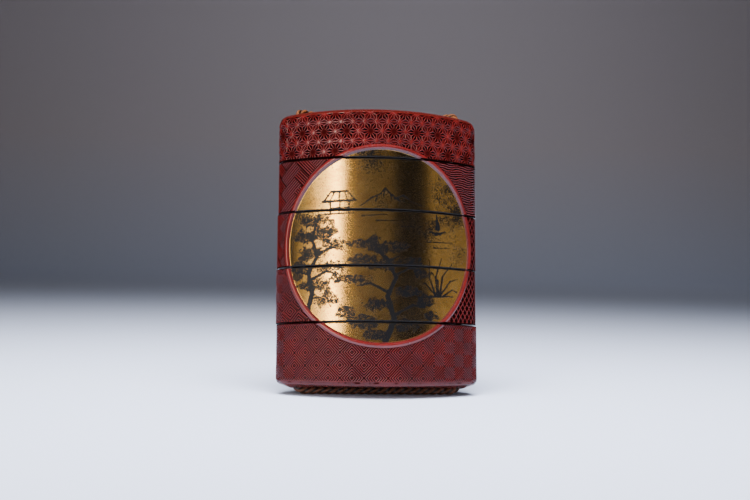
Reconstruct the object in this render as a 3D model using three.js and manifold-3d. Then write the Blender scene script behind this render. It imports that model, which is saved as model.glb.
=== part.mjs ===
// A carved lacquer inro: four small oval cases and a lid, stacked and held together by one looped cord.
// It stands as it does on a table, leaning back a little on the cord under its base and on its rear bottom edge.
// Lengths are in millimetres. Each piece is drawn upright, with X across the width, -Y to the front and Z up.

import * as THREE from "three";
import { mergeVertices } from "three/addons/utils/BufferGeometryUtils.js";
import Module from "manifold-3d";

const wasm = await Module();
wasm.setup();

// Outer body
const bodyWidth = 60;
const bodyDepth = 27;
const bodyEndRadius = 6;
const bottomCaseHeight = 18.6;
const lowerCaseHeight = 16.4;
const middleCaseHeight = 16.4;
const upperCaseHeight = 15.6;
const lidHeight = 15;
const seamGap = 0.3;
const topEdge = { across: 2.4, down: 2.8, sag: 0.5, steps: 3 };
const bottomEdge = { across: 1.6, up: 2.6, sag: 1, steps: 3 };
const leastRowShare = 0.25;
const bodySides = 56;

// How far the cases have settled out of line: sideways, and tipped about the front-to-back line, in degrees
const settling = {
  bottom_case: { aside: 0, tip: 0 },
  lower_case: { aside: -0.2, tip: -0.25 },
  middle_case: { aside: -0.1, tip: 0 },
  upper_case: { aside: 0.1, tip: 0 },
  lid: { aside: 0, tip: 0 },
};

// Cord, and the channel that it runs through in both ends of every piece
const cordDiameter = 2.4;
const cordClearance = 0.5;
const cordSunkInBase = 0.5;
const cordLiftOffLid = 0.3;
const cordBaseBend = 2.6;
const cordTopBend = 2;
const cordTopTurn = 40;
const cordHumpRise = 0.1;
const cordBow = 6;
const cordSides = 8;
const cordBendSteps = 4;

// Walls, and the risers that hold one case in the next
const faceWall = 1.7;
const endWall = 3.9;
const channelWall = 0.9;
const recessEndRadius = 10;
const riserWall = 0.9;
const riserHeight = 3.6;
const riserSideClearance = 0.4;
const riserTopClearance = 0.4;
const caseFloor = 1.4;
const bottomFloor = 2.6;
const lidRoof = 2.2;
const hollowSides = 28;
const roundestEnd = 0.95;

// How far a cutting solid runs past what it cuts
const beyond = 5;

// Round medallion on the front and the back
const medallionEndMargin = 5;
const medallionBorderWidth = 1.6;
const medallionFieldDepth = 0.45;
const medallionBorderRise = 0.25;
const medallionBorderFoot = 0.3;
const medallionBorderShoulder = { across: 0.35, rise: 0.4 };
const medallionSegments = 40;

// Carved ground
const motifSpacing = 7;
const columnsPerMotif = 4;
const starRowSpacing = 6;
const starFirstRow = 1.3;
const starDepth = 0.42;
const lozengeHeight = 7.4;
const lozengeCentreHeight = 9.8;
const lozengeDepth = 0.4;

const lacquerRed = new THREE.MeshStandardMaterial({
  color: 0x8c1d1c,
  roughness: 0.35,
  metalness: 0,
});
const cordBrown = new THREE.MeshStandardMaterial({
  color: 0x6b3a1d,
  roughness: 0.8,
  metalness: 0,
});

// An oval of two shallow face arcs and two small end arcs that meet them smoothly.
class Oval {
  constructor(halfWidth, halfDepth, endRadius) {
    const roundest = roundestEnd * Math.min(halfWidth, halfDepth);
    const [a, b, r] = [halfWidth, halfDepth, Math.min(endRadius, roundest)];
    this.halfWidth = a;
    this.halfDepth = b;
    this.endRadius = r;
    this.faceRadius = ((a - r) ** 2 + b ** 2 - r ** 2) / (2 * (b - r));
    this.faceAngle = Math.atan2(a - r, this.faceRadius - b);
    this.faceLength = this.faceRadius * this.faceAngle;
    this.quarter = this.faceLength + r * (Math.PI / 2 - this.faceAngle);
  }

  get length() {
    return 4 * this.quarter;
  }

  shrunk(by) {
    return new Oval(this.halfWidth - by, this.halfDepth - by, this.endRadius - by);
  }

  // The point at a length round the outline from the middle of the front, towards +X, moved out by a distance.
  at(along, out = 0) {
    const s = ((along % this.length) + this.length) % this.length;
    const back = s > this.quarter && s < 3 * this.quarter;
    const right = s < 2 * this.quarter;
    const fromFace = back ? Math.abs(s - 2 * this.quarter) : Math.min(s, this.length - s);
    const onFace = fromFace <= this.faceLength;
    const angle = onFace
      ? fromFace / this.faceRadius
      : this.faceAngle + (fromFace - this.faceLength) / this.endRadius;
    const radius = (onFace ? this.faceRadius : this.endRadius) + out;
    const x = (onFace ? 0 : this.halfWidth - this.endRadius) + radius * Math.sin(angle);
    const y = (onFace ? this.halfDepth - this.faceRadius : 0) + radius * Math.cos(angle);
    return [right ? x : -x, back ? y : -y];
  }
}

const body = new Oval(bodyWidth / 2, bodyDepth / 2, bodyEndRadius);
const channelRadius = cordDiameter / 2 + cordClearance;
const channelFromMiddle = bodyWidth / 2 - endWall - channelRadius;
const recess = new Oval(
  channelFromMiddle - channelRadius - channelWall,
  bodyDepth / 2 - faceWall,
  recessEndRadius,
);
const riser = recess.shrunk(riserSideClearance);
const compartment = riser.shrunk(riserWall);
const medallionRadius = body.quarter - medallionEndMargin;
const medallionFieldRadius = medallionRadius - medallionBorderWidth;
const pieceHeights = {
  bottom_case: bottomCaseHeight,
  lower_case: lowerCaseHeight,
  middle_case: middleCaseHeight,
  upper_case: upperCaseHeight,
  lid: lidHeight,
};
const lidStart = bottomCaseHeight + lowerCaseHeight + middleCaseHeight + upperCaseHeight;
const bodyHeight = lidStart + lidHeight;

// The carving repeats a whole and even number of times round the body.
const motifsRound = 2 * Math.round(body.length / motifSpacing / 2);
const motifWidth = body.length / motifsRound;

function solidFrom(geometry) {
  const bare = geometry.clone();
  bare.deleteAttribute("normal");
  bare.deleteAttribute("uv");
  const merged = mergeVertices(bare, 1e-4);
  return new wasm.Manifold(
    new wasm.Mesh({
      numProp: 3,
      vertProperties: new Float32Array(merged.attributes.position.array),
      triVerts: new Uint32Array(merged.index.array),
    }),
  );
}

function solid(positions, triangles) {
  const geometry = new THREE.BufferGeometry();
  geometry.setAttribute("position", new THREE.Float32BufferAttribute(positions, 3));
  geometry.setIndex(triangles);
  return solidFrom(geometry);
}

function ring(oval, count, insetAt, heightAt) {
  return Array.from({ length: count }, (_, i) => {
    const along = (i * oval.length) / count;
    const [x, y] = oval.at(along, -insetAt(along));
    return [x, y, heightAt(x)];
  });
}

// Joins rings of the same number of points into one closed solid. Each ring is the same on both sides of the line
// through its first quarter point, so its ends close with strips that run straight across.
function loft(rings, slopesUp = () => true) {
  const count = rings[0].length;
  const triangles = [];
  const quad = (a, b, c, d) => triangles.push(a, b, c, a, c, d);
  for (let j = 0; j + 1 < rings.length; j++) {
    for (let i = 0; i < count; i++) {
      const [here, next] = [j * count + i, j * count + ((i + 1) % count)];
      if (slopesUp(i, j)) quad(here, next, next + count, here + count);
      else quad(next, next + count, here + count, here);
    }
  }
  const last = (rings.length - 1) * count;
  const quarter = count / 4;
  for (let i = -quarter; i < quarter; i++) {
    const front = [(i + count) % count, (i + 1 + count) % count];
    const rear = [(count / 2 - i) % count, (count / 2 - i - 1) % count];
    const strip = [front[0], front[1], rear[1], rear[0]].filter((p, k, all) => all.indexOf(p) === k);
    for (let k = 1; k + 1 < strip.length; k++) {
      triangles.push(last + strip[0], last + strip[k], last + strip[k + 1]);
      triangles.push(strip[0], strip[k + 1], strip[k]);
    }
  }
  return solid(rings.flat(2), triangles);
}

function prism(oval, low, high, sides = hollowSides) {
  const flat = (z) => ring(oval, sides, () => 0, () => z);
  return loft([flat(low), flat(high)]);
}

function distanceToWhole(value) {
  return Math.abs(value - Math.round(value));
}

// Stars in staggered rows on the lid, each a dimple that is deepest at its middle.
function starCut(along, height) {
  const row = Math.round((height - lidStart - starFirstRow) / starRowSpacing);
  const rowHeight = lidStart + starFirstRow + row * starRowSpacing;
  const shift = row % 2 === 0 ? 0 : 0.5;
  const across = distanceToWhole(along / motifWidth - shift) * motifWidth;
  const distance = Math.hypot(across, height - rowHeight);
  return starDepth * Math.max(0, 1 - distance / (motifWidth / 2));
}

// Lozenges on the bottom case, each rising from the crossing lines round it to its middle.
function lozengeCut(along, height) {
  const across = along / motifWidth;
  const up = (height - lozengeCentreHeight) / lozengeHeight;
  const fromMiddle = Math.max(distanceToWhole(across + up), distanceToWhole(across - up));
  return lozengeDepth * 2 * fromMiddle;
}

const plain = () => 0;

// Each square of the carved grid is halved along its deeper diagonal.
function carvedLoft(layers) {
  const columns = motifsRound * columnsPerMotif;
  const cutAt = (i, j) => layers[j].cut(((i % columns) * body.length) / columns);
  const rings = layers.map(({ cut, inset, heightAt }) => ring(body, columns, (s) => cut(s) + inset, heightAt));
  return loft(rings, (i, j) => cutAt(i, j) + cutAt(i + 1, j + 1) >= cutAt(i + 1, j) + cutAt(i, j + 1));
}

function bottomOutside(high) {
  const layers = [];
  const baseAt = (x) => bottomEdge.sag * (x / body.halfWidth) ** 2;
  for (let k = 0; k <= bottomEdge.steps; k++) {
    const turn = (Math.PI / 2) * (k / bottomEdge.steps);
    const lift = bottomEdge.up * (1 - Math.cos(turn));
    const inset = bottomEdge.across * (1 - Math.sin(turn));
    layers.push({ cut: plain, inset, heightAt: (x) => baseAt(x) + lift });
  }
  const rowStep = lozengeHeight / columnsPerMotif;
  const carvedFrom = bottomEdge.up + bottomEdge.sag + rowStep / 2;
  const carvedTo = high - rowStep * leastRowShare;
  const firstRow = Math.ceil((carvedFrom - lozengeCentreHeight) / rowStep);
  for (let row = firstRow; lozengeCentreHeight + row * rowStep < carvedTo; row++) {
    const z = lozengeCentreHeight + row * rowStep;
    layers.push({ cut: (s) => lozengeCut(s, z), inset: 0, heightAt: () => z });
  }
  layers.push({ cut: plain, inset: 0, heightAt: () => high });
  return carvedLoft(layers);
}

function lidOutside(low) {
  const layers = [{ cut: plain, inset: 0, heightAt: () => low }];
  const topAt = (x) => bodyHeight - topEdge.sag * (x / body.halfWidth) ** 2;
  const rowStep = starRowSpacing / columnsPerMotif;
  const carvedTo = topAt(body.halfWidth) - topEdge.down - rowStep * leastRowShare;
  for (let z = lidStart + starFirstRow; z < carvedTo; z += rowStep) {
    layers.push({ cut: (s) => starCut(s, z), inset: 0, heightAt: () => z });
  }
  for (let k = 0; k <= topEdge.steps; k++) {
    const turn = (Math.PI / 2) * (k / topEdge.steps);
    const drop = topEdge.down * (1 - Math.sin(turn));
    layers.push({
      cut: (s) => starCut(s, bodyHeight - drop) * Math.cos(turn),
      inset: topEdge.across * (1 - Math.cos(turn)),
      heightAt: (x) => topAt(x) - drop,
    });
  }
  return carvedLoft(layers);
}

// A circle wrapped onto the body round the middle of a face, starting at its lowest point.
function wrappedCircle(faceMiddle, radius, out) {
  return Array.from({ length: medallionSegments }, (_, k) => {
    const angle = (2 * Math.PI * k) / medallionSegments;
    const [x, y] = body.at(faceMiddle + radius * Math.sin(angle), out);
    return [x, y, bodyHeight / 2 - radius * Math.cos(angle)];
  });
}

// The sunk round field of a medallion, as the solid that is cut away.
function medallionField(faceMiddle) {
  return loft([-medallionFieldDepth, beyond].map((out) => wrappedCircle(faceMiddle, medallionFieldRadius, out)));
}

// The raised border round a medallion: a crest, and a slope from it down to the field.
function medallionBorder(faceMiddle) {
  const foot = medallionFieldDepth + medallionBorderFoot;
  const shoulder = medallionBorderShoulder;
  const profile = [
    [medallionFieldRadius, -foot],
    [medallionRadius, -foot],
    [medallionRadius, medallionBorderRise * shoulder.rise],
    [medallionRadius - medallionBorderWidth * shoulder.across, medallionBorderRise],
    [medallionFieldRadius, -medallionFieldDepth],
  ];
  const circles = profile.map(([radius, out]) => wrappedCircle(faceMiddle, radius, out));
  return closedTube(circles[0].map((_, k) => circles.map((circle) => circle[k])));
}

// Joins sections of the same number of points, in a closed circuit, into one solid.
function closedTube(sections) {
  const triangles = [];
  const [count, sides] = [sections.length, sections[0].length];
  for (let i = 0; i < count; i++) {
    const [here, next] = [i * sides, ((i + 1) % count) * sides];
    for (let k = 0; k < sides; k++) {
      const q = (k + 1) % sides;
      triangles.push(here + k, here + q, next + q, here + k, next + q, next + k);
    }
  }
  const positions = sections.flat(2);
  const tube = solid(positions, triangles);
  return tube.volume() > 0 ? tube : solid(positions, triangles.reverse());
}

// The line of the cord, a closed loop: under the base, up both channels and over the lid. It leaves the channels
// turned to the back and crosses the lid behind its middle.
function cordLine(extraLift = 0) {
  const side = channelFromMiddle;
  const radius = cordDiameter / 2;
  const under = -(radius - cordSunkInBase);
  const over = bodyHeight + radius + cordLiftOffLid + extraLift;
  const crest = over + cordHumpRise;
  const arc = (r, from, to) =>
    Array.from({ length: cordBendSteps + 1 }, (_, k) => {
      const angle = THREE.MathUtils.degToRad(from + ((to - from) * k) / cordBendSteps);
      return [r * (1 - Math.cos(angle)), r * Math.sin(angle)];
    });
  const turn = THREE.MathUtils.degToRad(cordTopTurn);
  const inwards = new THREE.Vector2(-Math.cos(turn), Math.sin(turn));
  const humpFrom = new THREE.Vector2(side, 0).addScaledVector(inwards, cordTopBend);
  const reach = (cordBow - humpFrom.y) / inwards.y;
  const corner = humpFrom.clone().addScaledVector(inwards, reach);
  const easing = new THREE.QuadraticBezierCurve(humpFrom, corner, new THREE.Vector2(corner.x - reach, cordBow));
  const hump = easing.getPoints(cordBendSteps + 1).map(({ x, y }, k) => {
    const fall = THREE.MathUtils.smoothstep(k, 0, cordBendSteps + 1);
    return [x, y, crest - cordHumpRise * fall];
  });
  const right = [
    [0, 0, under],
    [side / 2, 0, under],
    ...arc(cordBaseBend, -90, 0).map(([inward, up]) => [side - inward, 0, under + cordBaseBend + up]),
    [side, 0, bodyHeight / 2],
    ...arc(cordTopBend, 0, 90)
      .slice(0, -1)
      .map(([inward, up]) => [side + inward * inwards.x, inward * inwards.y, crest - cordTopBend + up]),
    ...hump,
    [hump.at(-1)[0] / 2, cordBow, over],
    [0, cordBow, over],
  ];
  const left = right
    .slice(1, -1)
    .reverse()
    .map(([x, y, z]) => [-x, y, z]);
  return [...right, ...left];
}

// A tube of round section along a closed line, mitred at every point.
function loopTube(line, radius) {
  const points = line.map((point) => new THREE.Vector3(...point));
  const frontToBack = new THREE.Vector3(0, 1, 0);
  const sections = points.map((point, i) => {
    const before = points.at(i - 1);
    const after = points[(i + 1) % points.length];
    const arriving = point.clone().sub(before).normalize();
    const leaving = after.clone().sub(point).normalize();
    const along = arriving.clone().add(leaving).normalize();
    const across = frontToBack.clone().cross(along).normalize();
    const other = along.clone().cross(across);
    const stretch = 1 / along.dot(arriving);
    return Array.from({ length: cordSides }, (_, k) => {
      const angle = (2 * Math.PI * (k + 0.5)) / cordSides;
      const corner = point.clone().addScaledVector(across, radius * Math.cos(angle) * stretch);
      return corner.addScaledVector(other, radius * Math.sin(angle)).toArray();
    });
  });
  return closedTube(sections);
}

// The lean at which the cord under the base and the rounded rear bottom edge both touch the ground.
function restingLean() {
  const flatOfCord = (cordDiameter / 2) * Math.cos(Math.PI / cordSides);
  const { across, up } = bottomEdge;
  const cordLow = (lean) => -(cordDiameter / 2 - cordSunkInBase + flatOfCord) * Math.cos(lean);
  const edgeLow = (lean) => {
    const [s, c] = [Math.sin(lean), Math.cos(lean)];
    return up * c - (body.halfDepth - across) * s - Math.hypot(across * s, up * c);
  };
  let [low, high] = [0, Math.PI / 4];
  const halvings = 40;
  for (let k = 0; k < halvings; k++) {
    const middle = (low + high) / 2;
    if (edgeLow(middle) > cordLow(middle)) low = middle;
    else high = middle;
  }
  return low;
}

// A mesh whose own origin is at a height in the stack, so that it can be tipped about its middle.
function meshOf(name, shape, material, height = 0) {
  const { vertProperties, triVerts } = shape.getMesh();
  const geometry = new THREE.BufferGeometry();
  geometry.setAttribute("position", new THREE.Float32BufferAttribute(vertProperties, 3));
  geometry.setIndex(new THREE.Uint32BufferAttribute(triVerts, 1));
  geometry.translate(0, 0, -height);
  geometry.computeVertexNormals();
  const mesh = new THREE.Mesh(geometry, material);
  mesh.name = name;
  mesh.position.z = height;
  return mesh;
}

const stack = new THREE.Group();
const channel = loopTube(cordLine(beyond), channelRadius);
const faceMiddles = [0, body.length / 2];
const fields = faceMiddles.map(medallionField);
const borders = faceMiddles.map(medallionBorder);

let start = 0;
for (const [name, height] of Object.entries(pieceHeights)) {
  const isBottom = name === "bottom_case";
  const isLid = name === "lid";
  const low = isBottom ? 0 : start + seamGap / 2;
  const high = isLid ? bodyHeight : start + height - seamGap / 2;
  let piece = prism(body, low, high, bodySides);
  if (isBottom) piece = bottomOutside(high);
  if (isLid) piece = lidOutside(low);

  const slab = new THREE.BoxGeometry(bodyWidth + 2 * beyond, bodyDepth + 2 * beyond, high - low);
  slab.translate(0, 0, (low + high) / 2);
  const ownHeight = solidFrom(slab);
  fields.forEach((field, face) => {
    piece = piece.subtract(field).add(borders[face].intersect(ownHeight));
  });

  const recessTop = start + riserHeight + riserTopClearance;
  if (isLid) {
    piece = piece.subtract(prism(recess, low - beyond, bodyHeight - lidRoof));
  } else {
    const floorTop = isBottom ? bottomFloor : recessTop + caseFloor;
    piece = piece.add(prism(riser, high - riserWall, high + riserHeight));
    piece = piece.subtract(prism(compartment, floorTop, high + riserHeight + beyond));
    if (!isBottom) piece = piece.subtract(prism(recess, low - beyond, recessTop));
  }

  const mesh = meshOf(name, piece.subtract(channel), lacquerRed, (low + high) / 2);
  mesh.position.x = settling[name].aside;
  mesh.rotation.y = THREE.MathUtils.degToRad(settling[name].tip);
  stack.add(mesh);
  start += height;
}
stack.add(meshOf("cord", loopTube(cordLine(), cordDiameter / 2), cordBrown));

// The stack leans back as it rests, and the ground is at height 0 under the middle of it all.
stack.rotation.x = -restingLean();
const inro = new THREE.Group();
inro.add(stack);
inro.updateMatrixWorld(true);
const box = new THREE.Box3().setFromObject(inro, true);
const middle = box.getCenter(new THREE.Vector3());
stack.position.set(-middle.x, -middle.y, -box.min.z);
inro.updateMatrixWorld(true);

export default inro;
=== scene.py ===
import math
import bpy
import numpy as np
from mathutils import Matrix, Vector
from mathutils.geometry import delaunay_2d_cdt


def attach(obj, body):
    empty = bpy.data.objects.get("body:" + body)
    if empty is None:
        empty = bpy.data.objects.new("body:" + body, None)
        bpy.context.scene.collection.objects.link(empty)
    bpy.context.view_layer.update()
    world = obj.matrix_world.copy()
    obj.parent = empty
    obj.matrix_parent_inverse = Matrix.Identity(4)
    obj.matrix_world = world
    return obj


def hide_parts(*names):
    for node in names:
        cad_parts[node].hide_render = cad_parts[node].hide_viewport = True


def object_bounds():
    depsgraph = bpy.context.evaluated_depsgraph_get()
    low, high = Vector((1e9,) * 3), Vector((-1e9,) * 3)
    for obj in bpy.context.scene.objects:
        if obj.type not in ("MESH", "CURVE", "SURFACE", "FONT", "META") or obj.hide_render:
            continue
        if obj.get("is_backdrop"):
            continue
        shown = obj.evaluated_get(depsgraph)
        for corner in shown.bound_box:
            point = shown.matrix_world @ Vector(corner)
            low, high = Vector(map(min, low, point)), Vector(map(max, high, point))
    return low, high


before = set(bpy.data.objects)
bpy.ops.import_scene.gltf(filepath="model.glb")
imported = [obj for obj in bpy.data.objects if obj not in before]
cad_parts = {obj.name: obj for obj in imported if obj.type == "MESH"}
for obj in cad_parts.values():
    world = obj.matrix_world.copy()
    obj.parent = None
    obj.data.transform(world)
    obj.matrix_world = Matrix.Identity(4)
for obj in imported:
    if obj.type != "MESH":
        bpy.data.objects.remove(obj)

cadBounds = [list(corner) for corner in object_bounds()]
mm = 0.001

# How the stack stands: the lean back onto its rear edge, and where the middle of the base comes, in mm.
stance = {
    "lean": 8.5894,
    "foot": (0.0674, -6.0453, 1.8570),
}

# The body that all the cases are cut from, in mm.
body = {
    "halfWidth": 30.0,
    "halfDepth": 13.5,
    "endRadius": 6.0,
    "height": 82.0,
    "topAcross": 2.4, "topDown": 2.8, "topSag": 0.5,
    "baseAcross": 1.6, "baseUp": 2.6, "baseSag": 1.0,
    "seamGap": 0.3,
}

# Where two cases meet, in mm: the worn edge, and the shade painted dark along it in the seam.
seam = {"round": 0.1, "lip": 0.02, "seamShadeReach": 0.2, "seamShade": 1.6}

# Small dents along the rim of the base, in mm.
rimDents = {"height": 0.95, "reach": 0.3, "deep": 0.12, "size": 0.5}

# The groove for the cord in the base, in mm: how deep it lies, and the flat ground beside it.
cordBed = {"drop": 0.7, "flatBeside": 2.2, "flatTo": 25.5}

# Each case in mm: how far it sits to the side and tips in degrees, the spacing of the points that its carving
# is made of, how much wider they stand in height, and how deep the deepest cuts go.
cases = {
    "bottom_case": {"height": 18.6, "aside": 0.0, "tip": 0.0, "grain": 0.1235, "rowStretch": 1.058,
                    "cut": 0.26},
    "lower_case": {"height": 16.4, "aside": -0.2, "tip": -0.25, "grain": 0.104, "cut": 0.24},
    "middle_case": {"height": 16.4, "aside": -0.1, "tip": 0.0, "grain": 0.104, "cut": 0.24},
    "upper_case": {"height": 15.6, "aside": 0.1, "tip": 0.0, "grain": 0.104, "cut": 0.24},
    "lid": {"height": 15.0, "aside": 0.0, "tip": 0.0, "grain": 0.1165, "rowStretch": 1.07, "cut": 0.32},
}

hollow = {
    "recess": (21.8, 11.8, 10.0),
    "riser": (21.4, 11.4, 9.6),
    "compartment": (20.5, 10.5, 8.7),
    "riserHeight": 3.6,
    "riserTopClearance": 0.4,
    "caseFloor": 1.4,
    "bottomFloor": 2.6,
    "lidRoof": 2.2,
    "sides": 160,
    "channelX": 24.4,
    "channelRadius": 1.7,
    "channelSides": 32,
}

medallion = {
    "radius": 29.96,
    "border": 1.6,
    "crest": 0.55,           # where across the border it is highest
    "sunk": 0.45,
    "rise": 0.25,
    "height": 41.0,
    "groove": 0.12,          # how wide the groove outside the border is
    "grooveShare": 0.5,
}

carving = {
    "motifWidth": 7.0,       # about, so that a whole number goes round
    "starRow": 5.9, "starFirst": 69.0, "starPhase": -0.05, "starReach": 2.5,
    "ridgeHalf": 0.04, "ridgeSlope": 0.13, "starSlope": 0.14, "crossingSlope": 0.08,
    "leafDepth": 0.57, "starMiddle": 0.62,
    "lozengeHalfHeight": 3.7, "lozengeCentre": 9.8, "lozengePhase": -1.7, "lozengeRings": 4.5,
    "linePitch": 0.68, "blockWidth": 3.5, "blockEdge": 0.25,
    "wavePitch": 0.66, "waveColumn": 3.4, "waveRow": 4.9, "waveSway": 0.18, "waveNode": 0.9,
    "fretCell": 3.9, "fretPitch": 0.64,
    "flowerWidth": 1.7, "flowerHeight": 2.6,
}


def linear(hexColour):
    channels = [int(hexColour[i:i + 2], 16) / 255 for i in (1, 3, 5)]
    return [c / 12.92 if c <= 0.04045 else ((c + 0.055) / 1.055) ** 2.4 for c in channels] + [1.0]


def addNode(material, kind, inputs=None, give=None, **settings):
    # Inputs are plain values or the outputs of other nodes; gives the named output, or else the first in use.
    tree = material.node_tree
    node = tree.nodes.new("ShaderNode" + kind)
    for name, value in settings.items():
        setattr(node, name, value)
    for socket, value in (inputs or {}).items():
        if isinstance(value, bpy.types.NodeSocket):
            tree.links.new(value, node.inputs[socket])
        else:
            node.inputs[socket].default_value = value
    return node.outputs[give] if give else next((socket for socket in node.outputs if socket.enabled), None)


def newMaterial(name):
    material = bpy.data.materials.new(name)
    material.use_nodes = True
    material.node_tree.nodes.clear()
    return material


def setSurface(material, inputs):
    addNode(material, "OutputMaterial", {"Surface": addNode(material, "BsdfPrincipled", inputs)})


# Oval outline: two shallow face arcs and two small end arcs

def oval(halfWidth, halfDepth, endRadius):
    a, b, r = halfWidth, halfDepth, endRadius
    faceRadius = ((a - r) ** 2 + b * b - r * r) / (2 * (b - r))
    faceAngle = math.atan2(a - r, faceRadius - b)
    faceLength = faceRadius * faceAngle
    quarter = faceLength + r * (math.pi / 2 - faceAngle)
    return {"a": a, "b": b, "r": r, "faceRadius": faceRadius, "faceAngle": faceAngle,
            "faceLength": faceLength, "quarter": quarter, "length": 4 * quarter}


def onOval(shape, along, out=0.0):
    s = np.mod(along, shape["length"])
    back = (s > shape["quarter"]) & (s < 3 * shape["quarter"])
    right = s < 2 * shape["quarter"]
    fromFace = np.where(back, np.abs(s - 2 * shape["quarter"]), np.minimum(s, shape["length"] - s))
    onFace = fromFace <= shape["faceLength"]
    angle = np.where(onFace, fromFace / shape["faceRadius"],
                     shape["faceAngle"] + (fromFace - shape["faceLength"]) / shape["r"])
    radius = np.where(onFace, shape["faceRadius"], shape["r"]) + out
    x = np.where(onFace, 0.0, shape["a"] - shape["r"]) + radius * np.sin(angle)
    y = np.where(onFace, shape["b"] - shape["faceRadius"], 0.0) + radius * np.cos(angle)
    return np.where(right, x, -x), np.where(back, y, -y)


outline = oval(body["halfWidth"], body["halfDepth"], body["endRadius"])
motifCount = 2 * round(outline["length"] / carving["motifWidth"] / 2)
motifWidth = outline["length"] / motifCount


# Carving by length round the outline and height, from 0 on the untouched surface to 1 in the deepest cuts

def toWhole(value):
    return np.abs(value - np.round(value))


def lines(phase):
    # Flat ridges between grooves with steep sides.
    return np.clip((0.5 - 0.5 * np.cos(2 * math.pi * phase) - 0.14) / 0.5, 0, 1)


def hempLeaf(s, z):
    # Triangles of half the star spacing, each cut as three pits between thin ridges; every other crossing is
    # a star, where the twelve pits run deep and the ridges sink into the middle.
    c = carving
    rowHeight = c["starRow"] / 2
    v = (z - c["starFirst"]) / rowHeight
    u = (s - c["starPhase"]) / (motifWidth / 2) - v / 2
    fu, fv = u - np.floor(u), v - np.floor(v)
    upper = fu + fv > 1
    b1, b2 = np.where(upper, 1 - fu, fu), np.where(upper, 1 - fv, fv)
    weights = np.sort(np.stack([b1, b2, 1 - b1 - b2]), axis=0)
    fromRidge = np.minimum(weights[0] * rowHeight, (weights[1] - weights[0]) * rowHeight / math.sqrt(3))
    row = np.round(v / 2)
    starX = np.round(u / 2 + v / 4 - row / 2) + row / 2
    fromStar = np.hypot((u / 2 + v / 4 - starX) * motifWidth, (v / 2 - row) * c["starRow"])
    star = np.clip(1 - fromStar / c["starReach"], 0, 1)
    crossing = np.clip((weights[2] - 0.7) / 0.3, 0, 1)
    slope = c["ridgeSlope"] + c["starSlope"] * star - c["crossingSlope"] * crossing * (1 - star)
    pit = np.clip((fromRidge - c["ridgeHalf"]) / slope, 0, 1)
    pit = pit * (c["leafDepth"] + (1 - c["leafDepth"]) * np.clip(2 * star, 0, 1))
    return np.maximum(pit, c["starMiddle"] * np.clip(2.2 * star - 0.75, 0, 1))


def lozenges(s, z):
    c = carving
    across = (s - c["lozengePhase"]) / motifWidth
    up = (z - c["lozengeCentre"]) / (2 * c["lozengeHalfHeight"])
    fromMiddle = 2 * np.maximum(toWhole(across + up), toWhole(across - up))
    nearLattice = np.clip((fromMiddle - 0.8) / 0.1, 0, 1)
    return lines(fromMiddle * c["lozengeRings"]) * (0.78 + 0.22 * nearLattice)


def weave(s, z):
    c = carving
    p, q = (s + z) / math.sqrt(2), (z - s) / math.sqrt(2)
    cellP, cellQ = np.floor(p / c["blockWidth"]), np.floor(q / c["blockWidth"])
    alongP = np.mod(cellP - cellQ, 4) < 2
    across = np.where(alongP, q, p)
    fromEdge = toWhole(across / c["blockWidth"]) * c["blockWidth"]
    return np.maximum(0.85 * lines(across / c["linePitch"]), np.clip(1 - fromEdge / c["blockEdge"], 0, 1))


def waves(s, z):
    c = carving
    column = np.round(s / c["waveColumn"])
    shift = np.where(np.mod(column, 2) == 0, 0.0, c["waveRow"] / 2)
    fromColumn = s - column * c["waveColumn"]
    fromNode = z - shift - np.round((z - shift) / c["waveRow"]) * c["waveRow"]
    near = np.exp(-(fromColumn ** 2 + fromNode ** 2) / c["waveNode"] ** 2)
    sway = c["waveSway"] * np.sin(2 * math.pi * s / (2 * c["waveColumn"]))
    return lines((z + sway + 0.75 * fromNode * near) / c["wavePitch"])


def keyFret(s, z):
    c = carving
    p, q = (s + z) / math.sqrt(2) / c["fretCell"], (z - s) / math.sqrt(2) / c["fretCell"]
    x, y = (p - np.round(p)) * c["fretCell"], (q - np.round(q)) * c["fretCell"]
    spiral = np.maximum(np.abs(x), np.abs(y)) / c["fretPitch"] + np.arctan2(y, x) / (2 * math.pi)
    return lines(spiral)


def diamondFlowers(s, z):
    c = carving
    u, v = s / c["flowerWidth"], z / c["flowerHeight"]
    lattice = np.minimum(toWhole(u + v), toWhole(u - v))
    net = np.clip(lattice / 0.2, 0, 1)
    du, dv = toWhole(u + 0.5) * 2, toWhole(v) * 2
    petal = np.exp(-((du - 0.5) ** 2 + (dv - 0.5) ** 2) / 0.05)
    return np.clip(net - 0.9 * petal * (net > 0.7), 0, 1)


def sidePattern(right, left):
    # One pattern on each side of a case, meeting at the middle of the front and the back.
    return lambda s, z: np.where(np.sin(2 * math.pi * s / outline["length"]) > 0, right(s, z), left(s, z))


grounds = {
    "bottom_case": lozenges,
    "lower_case": sidePattern(diamondFlowers, keyFret),
    "middle_case": sidePattern(diamondFlowers, weave),
    "upper_case": sidePattern(waves, weave),
    "lid": hempLeaf,
}


def medallionRadius(s, z):
    fromFace = s - np.round(s / (outline["length"] / 2)) * outline["length"] / 2
    return np.hypot(fromFace, z - medallion["height"])


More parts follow.
